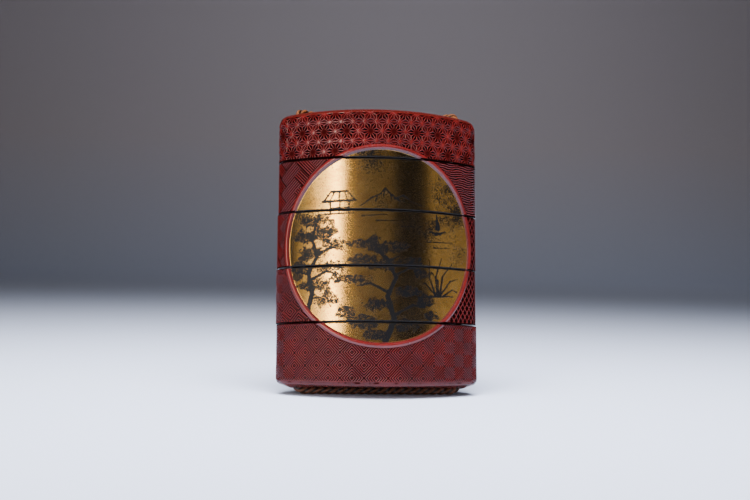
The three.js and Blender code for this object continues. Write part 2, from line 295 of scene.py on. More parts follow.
def reliefOf(name, s, z, calm):
    # Height above the plain surface, and the share of the full cut; calm is 0 where nothing is cut.
    m = medallion
    r = medallionRadius(s, z)
    field = m["radius"] - m["border"]
    t = np.clip((r - field) / m["border"], 0, 1)
    crest = m["crest"]
    inner = -m["sunk"] + (m["sunk"] + m["rise"]) * np.sin(math.pi / 2 * np.clip(t / crest, 0, 1))
    outer = m["rise"] * np.cos(math.pi / 2 * np.clip((t - crest) / (1 - crest), 0, 1))
    border = np.where(t < crest, inner, outer)
    share = grounds[name](s, z) * calm * np.clip((r - m["radius"]) / m["groove"], 0, 1)
    groove = np.exp(-((r - m["radius"] - 0.1) / m["groove"]) ** 2)
    share = np.maximum(share, m["grooveShare"] * groove)
    inside = r < m["radius"]
    return np.where(inside, border, -share * cases[name]["cut"]), np.where(inside, 0.0, share)


# The painting: ink on gold, in mm from the middle of the medallion
# A stroke is its width where it starts, its width where it ends and its points. A clump of leaves and a patch
# of haze are a middle and half sizes.

painting = {
    "trunks": [
        (1.5, 0.6, [(-22, -19), (-20.6, -14), (-21.8, -8), (-19.2, -3), (-21, 2), (-19.8, 6)]),
        (0.8, 0.3, [(-21, -10), (-16.4, -7.6), (-13, -8.4)]),
        (0.7, 0.3, [(-19.6, -3), (-15, -0.6), (-11.6, -1.4)]),
        (1.7, 0.7, [(1, -28.2), (3.8, -21.5), (1.8, -15), (4.4, -9.4), (1.6, -4), (-1.8, -1)]),
        (0.9, 0.3, [(2.4, -14), (-3.2, -11.2), (-7.4, -12)]),
        (0.9, 0.3, [(3.6, -20.6), (9.4, -17.4), (13.2, -18)]),
        (0.7, 0.3, [(4, -9), (8.4, -6.6), (11.6, -7)]),
        (0.6, 0.2, [(2, -4.6), (6, -2.8)]),
    ],
    "clumps": [
        (-21, 7.6, 5.4, 2.4), (-23.6, 3, 3.8, 2.6), (-17.4, 3.6, 5, 2.2), (-21.6, -2.4, 4.4, 2.4),
        (-13.4, 0.4, 4.6, 1.9), (-24.6, -7, 2.8, 2.8), (-15, -6.2, 4.4, 1.9), (-19.6, -11.6, 4.6, 2.2),
        (-12.4, -9.6, 3.4, 1.6), (-16.6, -15.8, 4.4, 2.2), (-3.6, 0.6, 5.4, 2.1), (3.6, -0.6, 4.6, 1.9),
        (-6.4, -4.6, 4.6, 1.9), (0.6, -5.6, 4, 1.9), (9, -4.8, 4, 1.8), (-6.8, -10.2, 4.8, 1.9),
        (12, -8.2, 2.8, 1.4), (-1.6, -17.4, 4.2, 1.9), (8.4, -13.4, 4, 1.7), (13.4, -16.2, 3.6, 1.8),
        (7.4, -23.4, 5, 2.2), (-5.6, -22.6, 4.6, 2.2), (-11, -19.6, 3.4, 1.8), (15.6, -20.4, 2.4, 1.6),
        (-1.2, -26.2, 4, 1.4),
    ],
    "fine": [
        (0.6, 0.5, [(-15.4, 15.8), (-10.4, 16)]), (0.5, 0.35, [(-17.6, 13), (-15.4, 15.8)]),
        (0.5, 0.35, [(-8.2, 13.2), (-10.4, 16)]), (0.7, 0.5, [(-17.8, 12.9), (-8, 13.2)]),
        (0.3, 0.2, [(-14.4, 15.6), (-15.6, 13.2)]), (0.3, 0.2, [(-12.8, 15.6), (-13, 13.2)]),
        (0.3, 0.2, [(-11.2, 15.6), (-10.4, 13.2)]),
        (0.4, 0.3, [(-15.6, 12.8), (-15.4, 9.2)]), (0.4, 0.3, [(-10, 13), (-9.9, 9.4)]),
        (0.3, 0.25, [(-12.7, 12.8), (-12.7, 9.4)]), (0.3, 0.25, [(-15.4, 11), (-10, 11.1)]),
        (0.4, 0.3, [(-17, 9.2), (-8.2, 9.4)]),
        (0.3, 0.5, [(-6.4, 11.6), (-3.2, 14), (-0.6, 15.2), (0.8, 16.8), (2.6, 15), (5.4, 13)]),
        (0.5, 0.2, [(3.6, 13.8), (6.4, 14.9), (8.6, 13.2), (12, 12)]),
        (0.3, 0.2, [(0.6, 16), (0.2, 14.4)]), (0.3, 0.2, [(-1.6, 14.2), (-2.2, 12.8)]),
        (0.3, 0.2, [(2.4, 14.6), (2.8, 13.2)]), (0.3, 0.2, [(6.6, 14.4), (6.4, 13.2)]),
        (0.3, 0.15, [(-6, 8.6), (1.4, 9)]), (0.3, 0.15, [(-1.8, 7.2), (6.6, 7.4)]),
        (0.3, 0.15, [(4.4, 5.6), (9.8, 5.7)]),
        (0.3, 0.15, [(13.4, 1.4), (22.6, 1.7)]), (0.3, 0.15, [(16.2, -0.2), (21.4, -0.1)]),
        (0.3, 0.9, [(14.6, 4.6), (17, 3.9)]), (0.9, 0.3, [(17, 3.9), (20.4, 4.8)]),
        (1.6, 0.5, [(17.5, 5.6), (17.2, 9.4)]),
        (0.6, 0.15, [(17.4, -14.6), (16.8, -9), (18.8, -3.2)]),
        (0.6, 0.15, [(18.2, -14.6), (19.2, -8.6), (22.6, -4.6)]),
        (0.6, 0.15, [(16.8, -14.4), (14.8, -9.4), (14.6, -4)]),
        (0.5, 0.15, [(18.6, -14), (21.8, -10), (24.8, -9)]),
        (0.5, 0.15, [(16.4, -14), (13.4, -10.8), (12, -11.2)]),
        (0.5, 0.15, [(19.4, -14.4), (22.6, -12.4), (24.2, -13)]),
        (0.5, 0.15, [(17.8, -14.4), (17.6, -10), (15.4, -7.4)]),
        (0.5, 0.2, [(13.8, -14.8), (23, -14.4)]),
    ],
    "haze": [
        (0.6, 13.6, 3.6, 1.2), (7.4, 12.6, 3, 0.9), (9.4, 6.4, 3.4, 2.6), (3.4, 3.6, 4, 1.4),
        (-13, 14.6, 2.6, 1.2), (-20, -3, 7, 11), (-5, -3, 8, 5), (-2, -21, 9, 6), (9, -17, 6, 5),
    ],
}
# Places where the gold is rubbed thin: middle, reach and how far it is gone.
worn = [(24, 10, 5, 0.8), (20, 17, 5, 0.7), (-4, 27.5, 5, 0.9), (0.6, 12.6, 2.6, 0.5), (10, 5, 6, 0.5),
        (-26, 6, 4, 0.4), (26, -2, 5, 0.5), (16, 6, 4, 0.4), (4, 22, 9, 0.2)]


def softNoise(x, y, cell, seed):
    rng = np.random.default_rng(seed)
    table = rng.random((64, 64))
    u, v = x / cell, y / cell
    iu, iv = np.floor(u).astype(int), np.floor(v).astype(int)
    fu, fv = u - iu, v - iv
    fu, fv = fu * fu * (3 - 2 * fu), fv * fv * (3 - 2 * fv)
    corner = lambda du, dv: table[np.mod(iu + du, 64), np.mod(iv + dv, 64)]
    low = corner(0, 0) * (1 - fu) + corner(1, 0) * fu
    high = corner(0, 1) * (1 - fu) + corner(1, 1) * fu
    return low * (1 - fv) + high * fv


def brushDabs():
    # Pine needles and leaves: each clump is a spread of short slanting dabs, thicker towards its middle.
    rng = np.random.default_rng(11)
    dabs = []
    for x, y, wide, tall in painting["clumps"]:
        for _ in range(int(9 + 3.2 * wide * tall)):
            turn, reach = rng.random() * 2 * math.pi, math.sqrt(rng.random())
            slant = math.radians(rng.normal(20, 35))
            size = rng.uniform(0.45, 0.95) * (1.15 - 0.5 * reach)
            dabs.append((x + wide * reach * math.cos(turn), y + tall * reach * math.sin(turn),
                         slant, size, size * 0.45, rng.uniform(0.25, 0.65)))
    return dabs


def inkOf(x, y):
    clear = np.ones_like(x)
    drift = 0.35 * (softNoise(x, y, 1.1, 3) - 0.5) + 0.25 * (softNoise(x, y, 0.5, 5) - 0.5)
    wash = 0.8 * (softNoise(x, y, 2.3, 7) - 0.5) + 0.6 * (softNoise(x, y, 0.9, 8) - 0.5)
    for first, last, points in painting["trunks"] + painting["fine"]:
        spans = len(points) - 1
        for k, ((ax, ay), (bx, by)) in enumerate(zip(points, points[1:])):
            dx, dy = bx - ax, by - ay
            t = np.clip(((x - ax) * dx + (y - ay) * dy) / (dx * dx + dy * dy), 0, 1)
            away = np.hypot(x - ax - t * dx, y - ay - t * dy)
            half = (first + (last - first) * (k + t) / spans) / 2
            clear = clear * (1 - np.clip(0.6 + (half - away + 0.3 * drift) / 0.4, 0, 1))
    for patches, tone in ((painting["clumps"], 0.55), (painting["haze"], 0.25)):
        for cx, cy, wide, tall in patches:
            reach = np.hypot((x - cx) / wide, (y - cy) / tall) + wash
            clear = clear * (1 - tone * np.clip((1.05 - reach) / 0.3, 0, 1))
    for cx, cy, slant, long, short, tone in brushDabs():
        near = (np.abs(x - cx) < 1.6) & (np.abs(y - cy) < 1.6)
        dx, dy = x[near] - cx, y[near] - cy
        along = dx * math.cos(slant) + dy * math.sin(slant)
        across = dy * math.cos(slant) - dx * math.sin(slant)
        reach = np.hypot(along / long, across / short) - drift[near]
        clear[near] = clear[near] * (1 - tone * np.clip((1.25 - reach) / 0.5, 0, 1))
    return 1 - clear


def wearOf(x, y):
    total = np.zeros_like(x)
    for cx, cy, reach, amount in worn:
        total = total + amount * np.exp(-((x - cx) ** 2 + (y - cy) ** 2) / reach ** 2)
    return np.clip(total, 0, 1)


# Mesh building: vertices are gathered with the values that the materials read

class MeshData:
    def __init__(self):
        self.points, self.extras, self.faces, self.slots, self.smooth = [], [], [], [], []
        self.count = 0

    def add(self, points, extras=None):
        points = np.asarray(points, dtype=float).reshape(-1, 3)
        self.points.append(points)
        self.extras.append(np.zeros((len(points), 4)) if extras is None else extras)
        first = self.count
        self.count += len(points)
        return np.arange(first, self.count)

    def quads(self, lower, upper, slot, smooth=False, flip=False):
        nextLower, nextUpper = np.roll(lower, -1), np.roll(upper, -1)
        block = np.stack([lower, nextLower, nextUpper, upper], axis=1)
        if flip:
            block = block[:, ::-1]
        self.face(block, slot, smooth)

    def grid(self, index, whole, slot, level):
        # A closed wall of fine cells; a block of two by two is one face where whole is set, and keeps the
        # points half way along a side where its neighbour is fine. A fine cell is halved along its more level
        # diagonal.
        rows, columns = whole.shape
        at = lambda dj, di: np.roll(index, -di, axis=1)[dj:dj + 2 * rows:2, ::2][:rows]
        corners = [at(0, 0), at(0, 2), at(2, 2), at(2, 0)]
        middles = [at(0, 1), at(1, 2), at(2, 1), at(1, 0)]
        fence = np.zeros((1, columns), dtype=bool)
        beside = [np.vstack([fence, whole[:-1]]), np.roll(whole, -1, axis=1),
                  np.vstack([whole[1:], fence]), np.roll(whole, 1, axis=1)]
        for code in range(16):
            kept = [bool(code & (1 << side)) for side in range(4)]
            chosen = whole.copy()
            for side in range(4):
                chosen &= beside[side] != kept[side]
            if chosen.any():
                ring = []
                for side in range(4):
                    ring.append(corners[side][chosen])
                    if kept[side]:
                        ring.append(middles[side][chosen])
                self.face(np.stack(ring, axis=1), slot[chosen], True)
        centre = at(1, 1)
        for k in range(4):
            a, b, c, d = [part[~whole] for part in (corners[k], middles[k], centre, middles[k - 1])]
            straight = np.abs(level[a] - level[c]) <= np.abs(level[b] - level[d])
            first = np.where(straight[:, None], np.stack([a, b, c], axis=1), np.stack([a, b, d], axis=1))
            second = np.where(straight[:, None], np.stack([a, c, d], axis=1), np.stack([b, c, d], axis=1))
            self.face(np.concatenate([first, second]), np.tile(slot[~whole], 2), True)

    def face(self, block, slot, smooth=False):
        self.faces.append(np.asarray(block))
        self.slots.append(np.broadcast_to(slot, (len(block),)))
        self.smooth.append(np.full(len(block), smooth))

    def build(self, name, materials, attributes):
        mesh = bpy.data.meshes.new(name)
        sizes = np.concatenate([np.full(len(f), f.shape[1]) for f in self.faces])
        corners = np.concatenate([f.reshape(-1) for f in self.faces])
        used, corners = np.unique(corners, return_inverse=True)
        points = np.concatenate(self.points)[used]
        mesh.vertices.add(len(points))
        mesh.vertices.foreach_set("co", points.reshape(-1))
        mesh.loops.add(len(corners))
        mesh.loops.foreach_set("vertex_index", corners.astype(np.int32))
        mesh.polygons.add(len(sizes))
        starts = np.concatenate([[0], np.cumsum(sizes)[:-1]])
        mesh.polygons.foreach_set("loop_start", starts.astype(np.int32))
        mesh.polygons.foreach_set("material_index", np.concatenate(self.slots).astype(np.int32))
        mesh.update(calc_edges=True)
        mesh.polygons.foreach_set("use_smooth", np.concatenate(self.smooth))
        values = np.concatenate(self.extras)[used]
        for column, title in enumerate(attributes):
            attribute = mesh.attributes.new(title, "FLOAT", "POINT")
            attribute.data.foreach_set("value", values[:, column].astype(np.float32))
        piece = bpy.data.objects.new(name, mesh)
        bpy.context.scene.collection.objects.link(piece)
        for material in materials:
            mesh.materials.append(material)
        return piece


def placed(points, settle=None, middle=0.0):
    # From the upright stack to where it stands, in metres.
    x, y, z = points[:, 0], points[:, 1], points[:, 2] - middle
    if settle:
        tip = math.radians(settle["tip"])
        x, z = (x * math.cos(tip) + z * math.sin(tip) + settle["aside"],
                z * math.cos(tip) - x * math.sin(tip))
    z = z + middle
    lean = math.radians(stance["lean"])
    foot = stance["foot"]
    return np.stack([x + foot[0], y * math.cos(lean) + z * math.sin(lean) + foot[1],
                     z * math.cos(lean) - y * math.sin(lean) + foot[2]], axis=1) * mm


capRows = (-7.5, -5, -3, -1.9, -1.55, -1.2, -0.6, 0, 0.6, 1.2, 1.55, 1.9, 3, 5, 7.5)    # closer by the groove


def capSurface(data, outer, holes, heightAt, upward, slot, spacing=None, smooth=False):
    # Closes an outline with holes, with points between where the surface isn't flat.
    points = np.concatenate(data.points)
    loops = [outer] + holes
    known = [int(i) for loop in loops for i in loop]
    flat = [Vector((points[i, 0], points[i, 1])) for i in known]
    edges, start = [], 0
    for loop in loops:
        edges += [(start + k, start + (k + 1) % len(loop)) for k in range(len(loop))]
        start += len(loop)
    extra = []
    if spacing:
        reachX, reachY = points[outer, 0].max(), points[outer, 1].max()
        shape = oval(reachX - spacing * 0.4, reachY - spacing * 0.4, 3.0)
        for gx in np.arange(-math.floor(reachX / spacing) * spacing, reachX, spacing):
            for gy in capRows:
                clearOfHoles = math.hypot(abs(gx) - hollow["channelX"], gy) > hollow["channelRadius"] + 0.25
                if clearOfHoles and insideOval(shape, gx, gy):
                    extra.append((gx, gy))
    flat += [Vector(p) for p in extra]
    verts, _, faces, originals, _, _ = delaunay_2d_cdt(flat, edges, [], 1, 1e-5)
    index = []
    for k, source in enumerate(originals):
        if source and source[0] < len(known):
            index.append(known[source[0]])
        else:
            x, y = verts[k]
            index.append(int(data.add([[x, y, float(heightAt(x, y))]])[0]))
    inHole = [set(int(i) for i in hole) for hole in holes]
    block = [[index[i] for i in face] for face in faces]
    block = np.array([face for face in block if not any(hole.issuperset(face) for hole in inHole)])
    all3 = np.concatenate(data.points)
    a, b, c = all3[block[:, 0]], all3[block[:, 1]], all3[block[:, 2]]
    turned = ((b[:, 0] - a[:, 0]) * (c[:, 1] - a[:, 1]) - (b[:, 1] - a[:, 1]) * (c[:, 0] - a[:, 0])) > 0
    wrong = turned != upward
    block[wrong] = block[wrong][:, ::-1]
    data.face(block, slot, smooth)


def insideOval(shape, x, y):
    x, y = abs(x), abs(y)
    if x >= shape["a"] or y >= shape["b"]:
        return False
    if x > shape["a"] - shape["r"]:
        return math.hypot(x - shape["a"] + shape["r"], y) < shape["r"]
    return y < shape["b"] - shape["faceRadius"] + math.sqrt(shape["faceRadius"] ** 2 - x * x)


def loopOf(data, dims, z):
    shape = oval(*dims)
    along = np.arange(hollow["sides"]) * shape["length"] / hollow["sides"]
    x, y = onOval(shape, along)
    return data.add(np.stack([x, y, np.full_like(x, z)], axis=1))


def channelLoop(data, side, heightAt):
    angle = np.arange(hollow["channelSides"]) * 2 * math.pi / hollow["channelSides"]
    x = side * hollow["channelX"] + hollow["channelRadius"] * np.cos(angle)
    y = hollow["channelRadius"] * np.sin(angle)
    z = np.array([float(heightAt(px, py)) for px, py in zip(x, y)])
    return data.add(np.stack([x, y, z], axis=1))


def topAt(x, y=0):
    return body["height"] - body["topSag"] * (x / body["halfWidth"]) ** 2


def baseAt(x, y=0):
    # The cord lies in a round groove between the two channels, and the base is flat beside it.
    fromCord = min(max((abs(y) - cordBed["flatBeside"]) / 3, (abs(x) - cordBed["flatTo"]) / 2, 0), 1)
    plain = body["baseSag"] * (x / body["halfWidth"]) ** 2 * fromCord
    inGroove = abs(y) < hollow["channelRadius"] and abs(x) < hollow["channelX"]
    if not inGroove:
        return plain
    return max(plain, -cordBed["drop"] + math.sqrt(hollow["channelRadius"] ** 2 - y * y))


slots = {"carved": 0, "medallion": 1, "inside": 2}


def makeCase(name, start):
    case = cases[name]
    isBottom, isLid = name == "bottom_case", name == "lid"
    low = 0.0 if isBottom else start + body["seamGap"] / 2
    high = body["height"] if isLid else start + case["height"] - body["seamGap"] / 2
    data = MeshData()
    grain = case["grain"]
    columns = 2 * round(outline["length"] / grain / 2)
    along = np.arange(columns) * outline["length"] / columns
    signed = np.where(along > outline["length"] / 2, along - outline["length"], along)
    plainX, _ = onOval(outline, signed)

    # The profile of the wall, from its lower edge up: how far it stands in, and its height.
    profile = []
    wallLow, wallHigh = low, high
    if isBottom:
        turns = np.linspace(0, math.pi / 2, 24)[:-1]
        profile += [(body["baseAcross"] * (1 - math.sin(t)), body["baseUp"] * (1 - math.cos(t)))
                    for t in turns]
        wallLow = body["baseUp"]
    if isLid:
        wallHigh = body["height"] - body["topDown"]
    cells = round((wallHigh - wallLow) / (grain * case.get("rowStretch", 1)))
    others = 24 if isLid else 23 if isBottom else 0
    cells += (cells + others) % 2
    heights = np.linspace(wallLow, wallHigh, cells + 1)
    if not isBottom:
        heights[1] = low + seam["lip"]
    if not isLid:
        heights[-2] = high - seam["lip"]
    profile += [(0.0, z) for z in heights]
    if isLid:
        turns = np.linspace(0, math.pi / 2, 25)[1:]
        profile += [(body["topAcross"] * (1 - math.cos(t)),
                     body["height"] - body["topDown"] * (1 - math.sin(t))) for t in turns]
    inset, height = [np.array(column)[:, None] + 0 * signed for column in zip(*profile)]
    around = signed + 0 * height
    sag, calm = np.zeros_like(around), np.ones_like(around)
    if isBottom:
        sag = body["baseSag"] * (plainX / body["halfWidth"]) ** 2 * np.clip(1 - height / 4.2, 0, 1)
        calm = np.clip((height - 1.3) / 0.25, 0, 1)
    if isLid:
        sag = -body["topSag"] * (plainX / body["halfWidth"]) ** 2 * np.clip((height - wallHigh + 2) / 2, 0, 1)
        calm = np.clip((0.6 - inset) / 0.35, 0, 1)
    relief, share = reliefOf(name, around, height, calm)
    if isBottom:
        dents = np.clip((softNoise(around + 80, height, rimDents["size"], 21) - 0.6) / 0.15, 0, 1)
        dents = dents * np.exp(-((height - rimDents["height"]) / rimDents["reach"]) ** 2)
        relief = relief - rimDents["deep"] * dents
        # Painted shade on the rounded rim below the carving; the dents are darkened as well.
        share = np.maximum(share, np.maximum(0.7 * dents, 0.3 * (1 - calm)))
    edge = np.minimum(9.0 if isBottom else height - low, 9.0 if isLid else high - height)
    rounding = seam["round"] * (1 - np.clip(edge / seam["round"], 0, 1)) ** 2
    # Painted shade: the wall is darkened towards each seam, darkest right at the edge.
    seamShade = seam["seamShade"] * np.clip(1.6 - edge / seam["seamShadeReach"], 0, 1)
    x, y = onOval(outline, around, relief - inset - rounding)
    radius = medallionRadius(around, height)
    fromBorder = radius - (medallion["radius"] - medallion["border"])
    front = np.abs(around) < outline["quarter"]
    painted = front & (fromBorder < 0.2)
    inkAndSeamShade, wear = np.zeros_like(around), 1 - calm if isLid else np.zeros_like(around)
    inkAndSeamShade[painted] = inkOf(around[painted], height[painted] - medallion["height"])
    wear[painted] = wearOf(around[painted], height[painted] - medallion["height"])
    points = np.stack([x, y, height + sag], axis=-1).reshape(-1, 3)
    # The painted seam shade goes into the cut share and the ink, so it darkens the red lacquer and the gold
    # alike.
    share, inkAndSeamShade = np.maximum(share, seamShade), np.maximum(inkAndSeamShade, seamShade)
    values = np.stack([share, inkAndSeamShade, wear, fromBorder], axis=-1).reshape(-1, 4)
    index = data.add(points, values).reshape(around.shape)
    rings = [index[0], index[-1]]
    reach = np.maximum(fromBorder[:-1:2, ::2], fromBorder[2::2, ::2])
    reach = np.maximum(reach, np.roll(reach, -1, axis=1))
    uncut = (calm[:-1:2, ::2] == 0) & (calm[2::2, ::2] == 0)
    whole = (reach < -0.3) | ~front[:-1:2, ::2] | uncut
    whole[0], whole[-1] = False, False
    data.grid(index, whole, np.where(reach < 0.5, slots["medallion"], slots["carved"]), relief.reshape(-1))

    recessTop = start + hollow["riserHeight"] + hollow["riserTopClearance"]
    channels = {}
    if isBottom:
        channels["low"] = [channelLoop(data, side, baseAt) for side in (-1, 1)]
        capSurface(data, rings[0], channels["low"], baseAt, False, slots["carved"], 2.0, True)
    else:
        channels["low"] = [channelLoop(data, side, lambda x, y: low) for side in (-1, 1)]
        recessLow = loopOf(data, hollow["recess"], low)
        capSurface(data, rings[0], channels["low"] + [recessLow], lambda x, y: low, False, slots["inside"])
        roof = body["height"] - hollow["lidRoof"] if isLid else recessTop
        recessHigh = loopOf(data, hollow["recess"], roof)
        data.quads(recessLow, recessHigh, slots["inside"], smooth=True, flip=True)
        data.face([recessHigh[::-1]], slots["inside"])
    if isLid:
        channels["high"] = [channelLoop(data, side, topAt) for side in (-1, 1)]
        capSurface(data, rings[-1], channels["high"], topAt, True, slots["carved"], 2.0, True)
    else:
        channels["high"] = [channelLoop(data, side, lambda x, y: high) for side in (-1, 1)]
        riserLow = loopOf(data, hollow["riser"], high)
        riserHigh = loopOf(data, hollow["riser"], high + hollow["riserHeight"])
        capSurface(data, rings[-1], channels["high"] + [riserLow], lambda x, y: high, True, slots["inside"])
        insideHigh = loopOf(data, hollow["compartment"], high + hollow["riserHeight"])
        floor = hollow["bottomFloor"] if isBottom else recessTop + hollow["caseFloor"]
        insideLow = loopOf(data, hollow["compartment"], floor)
        data.quads(riserLow, riserHigh, slots["inside"], smooth=True)
        data.quads(riserHigh, insideHigh, slots["inside"])
        data.quads(insideLow, insideHigh, slots["inside"], smooth=True, flip=True)
        data.face([insideLow], slots["inside"])
    for lowLoop, highLoop in zip(channels["low"], channels["high"]):
        data.quads(lowLoop, highLoop, slots["inside"], smooth=True, flip=True)

    for k, points in enumerate(data.points):
        data.points[k] = placed(points, case, (low + high) / 2)
    piece = data.build(name + "_carved", [redLacquer, goldGround, innerLacquer],
                       ["cutDepthAndShade", "inkAndSeamShade", "wear", "pastBorder"])
    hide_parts(name)
    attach(piece, "root")
    print("made", name, len(piece.data.polygons), "faces")


# Materials

# Carved red lacquer: many thin coats cut through with a knife, glossy on the ridges and dull in the cuts.
# Shade is painted dark into the cuts, along the seams and on the rim of the base.
def carvedRedLacquer():
    material = newMaterial("carvedRedLacquer")
    place = addNode(material, "TexCoord", give="Object")
    depth = addNode(material, "Attribute", give="Fac", attribute_name="cutDepthAndShade")
    rubbed = addNode(material, "Attribute", give="Fac", attribute_name="wear")
    mottle = addNode(material, "TexNoise", {"Vector": place, "Scale": 180, "Detail": 5})
    patches = addNode(material, "MapRange", {"Value": mottle, "From Min": 0.35, "From Max": 0.7})
    coats = addNode(material, "Mix", {"Factor": patches, "A": linear("#440e0e"), "B": linear("#541212")},
                    data_type="RGBA")
    coats = addNode(material, "Mix", {"Factor": rubbed, "A": coats, "B": linear("#370c09")}, data_type="RGBA")
    # Painted shade: the deeper the cut, the nearer the colour goes to near black.
    cutShade = addNode(material, "MapRange", {"Value": depth, "From Min": 0.1, "From Max": 0.7})
    colour = addNode(material, "Mix", {"Factor": cutShade, "A": coats, "B": linear("#0c0202")}, data_type="RGBA")
    grime = addNode(material, "TexNoise", {"Vector": place, "Scale": 900, "Detail": 3})
    rough = addNode(material, "MapRange", {"Value": grime, "From Min": 0.3, "From Max": 0.75, "To Min": 0.17,
                                           "To Max": 0.28})
    gloss = addNode(material, "MapRange", {"Value": depth, "From Min": 0.02, "From Max": 0.5, "To Min": 0.5,
                                           "To Max": 0.0})
    grain = addNode(material, "TexNoise", {"Vector": place, "Scale": 2200, "Detail": 3})
    bump = addNode(material, "Bump", {"Height": grain, "Strength": 0.12, "Distance": 0.0001})
    setSurface(material, {"Base Color": colour, "Roughness": rough, "Specular IOR Level": gloss,
                          "Normal": bump})
    return material


# Sprinkled gold on lacquer: burnished metal flakes, painted over in ink, worn through to the dark coat below.
# Past the border it is the plain red lacquer of the raised ring.
def goldOnLacquer():
    material = newMaterial("burnishedGoldOnLacquer")
    place = addNode(material, "TexCoord", give="Object")
    inkAndSeamShade = addNode(material, "Attribute", give="Fac", attribute_name="inkAndSeamShade")
    wear = addNode(material, "Attribute", give="Fac", attribute_name="wear")
    border = addNode(material, "Attribute", give="Fac", attribute_name="pastBorder")
    speckle = addNode(material, "TexNoise", {"Vector": place, "Scale": 3000, "Detail": 6, "Roughness": 0.75})
    cloud = addNode(material, "TexNoise", {"Vector": place, "Scale": 260, "Detail": 5, "Roughness": 0.65})
    patches = addNode(material, "MapRange", {"Value": cloud, "From Min": 0.35, "From Max": 0.7})
    gold = addNode(material, "Mix", {"Factor": patches, "A": linear("#b3843b"), "B": linear("#cc9e50")},
                   data_type="RGBA")
    # Specks of the dark coat show everywhere, thicker where the gold is rubbed and as the grain of the ink.
    rubbed = addNode(material, "MapRange", {"Value": cloud, "From Min": 0.25, "From Max": 0.6,
                                            "To Max": 0.75})
    rubbed = addNode(material, "Math", {0: wear, 1: rubbed}, operation="MULTIPLY")
    rubbed = addNode(material, "Math", {0: speckle, 1: 3.6, 2: rubbed}, operation="MULTIPLY_ADD")
    lost = addNode(material, "MapRange", {"Value": rubbed, "From Min": 2.0, "From Max": 2.25, "To Max": 0.8})
    # The painted seam shade comes in here with the ink, and darkens the gold the same way.
    inkedAndShaded = addNode(material, "Math", {0: speckle, 1: 3.2, 2: inkAndSeamShade}, operation="MULTIPLY_ADD")
    inkedAndShaded = addNode(material, "MapRange", {"Value": inkedAndShaded, "From Min": 1.92, "From Max": 2.3})
    dark = addNode(material, "Math", {0: lost, 1: inkedAndShaded}, operation="MAXIMUM")
    # The metal fades only after the colour has, so that no thin coat looks like paint.
    tint = addNode(material, "MapRange", {"Value": dark, "From Max": 0.75})
    colour = addNode(material, "Mix", {"Factor": tint, "A": gold, "B": linear("#0a090a")}, data_type="RGBA")
    onBorder = addNode(material, "MapRange", {"Value": border, "From Min": -0.03, "From Max": 0.03})
    colour = addNode(material, "Mix", {"Factor": onBorder, "A": colour, "B": linear("#360b0b")},
                     data_type="RGBA")
    metal = addNode(material, "MapRange", {"Value": dark, "From Min": 0.7, "To Min": 1.0, "To Max": 0.0})
    bare = addNode(material, "Math", {0: 1.0, 1: onBorder}, operation="SUBTRACT")
    metal = addNode(material, "Math", {0: metal, 1: bare}, operation="MULTIPLY")
    rough = addNode(material, "MapRange", {"Value": dark, "To Min": 0.17, "To Max": 0.42})
    gloss = addNode(material, "Mix", {"Factor": onBorder, "A": 0.06, "B": 0.38}, data_type="FLOAT")
    bump = addNode(material, "Bump", {"Height": speckle, "Strength": 0.14, "Distance": 0.0001})
    setSurface(material, {"Base Color": colour, "Metallic": metal, "Roughness": rough,
                          "Specular IOR Level": gloss, "Coat Weight": 0.3, "Coat Roughness": 0.5,
                          "Coat IOR": 1.45, "Normal": bump})
    return material


# Black lacquer inside: one smooth polished coat.
def blackLacquer():
    material = newMaterial("polishedBlackLacquer")
    place = addNode(material, "TexCoord", give="Object")
    cloud = addNode(material, "TexNoise", {"Vector": place, "Scale": 120, "Detail": 4})
    colour = addNode(material, "Mix", {"Factor": cloud, "A": linear("#1d1413"), "B": linear("#2b1a17")},
                     data_type="RGBA")
    setSurface(material, {"Base Color": colour, "Roughness": 0.3})
    return material


# Twisted silk cord: soft fibres along each strand, in their own colour on top, with shade painted near black
# where the strands meet.
def silkCord():
    material = newMaterial("twistedSilkCord")
    place = addNode(material, "TexCoord", give="Object")
    fibre = addNode(material, "TexNoise", {"Vector": place, "Scale": 3800, "Detail": 4})
    crest = addNode(material, "Attribute", give="Fac", attribute_name="strandHeight")
    threads = addNode(material, "MapRange", {"Value": fibre, "From Min": 0.3, "From Max": 0.7})
    base = addNode(material, "Mix", {"Factor": threads, "A": linear("#452111"), "B": linear("#6c3f21")},
                   data_type="RGBA")
    # Painted shade: the cord goes near black in the creases between the strands.
    shown = addNode(material, "MapRange", {"Value": crest, "From Min": 0.35, "From Max": 0.95})
    colour = addNode(material, "Mix", {"Factor": shown, "A": linear("#0d0503"), "B": base}, data_type="RGBA")
    bump = addNode(material, "Bump", {"Height": fibre, "Strength": 0.5, "Distance": 0.0001})
    setSurface(material, {"Base Color": colour, "Roughness": 0.55, "Specular IOR Level": 0.35,
                          "Normal": bump})
    return material


redLacquer = carvedRedLacquer()
goldGround = goldOnLacquer()
innerLacquer = blackLacquer()
cordSilk = silkCord()
print("materials ready")

start = 0.0
for caseName, case in cases.items():
    makeCase(caseName, start)
    start += case["height"]


# The cord: one closed loop of three strands, under the base, up both channels and over the lid

cord = {
    "radius": 1.1,
    "bedRadius": 1.2,        # of the smooth cord that the route is laid out for
    "strandOffset": 0.54,
    "lay": 7.1,              # one full turn of the three strands
    "hand": 1,
    "sunk": 0.5,
    "lift": 0.3,
    "baseBend": 2.6,
    "topBend": 2.0,
    "topTurn": 40.0,         # how far the top bend is turned to the back
    "humpRise": 0.1,
    "bow": 6.0,              # how far it lies to the back over the lid
    "step": 0.4,
    "sides": 36,
}


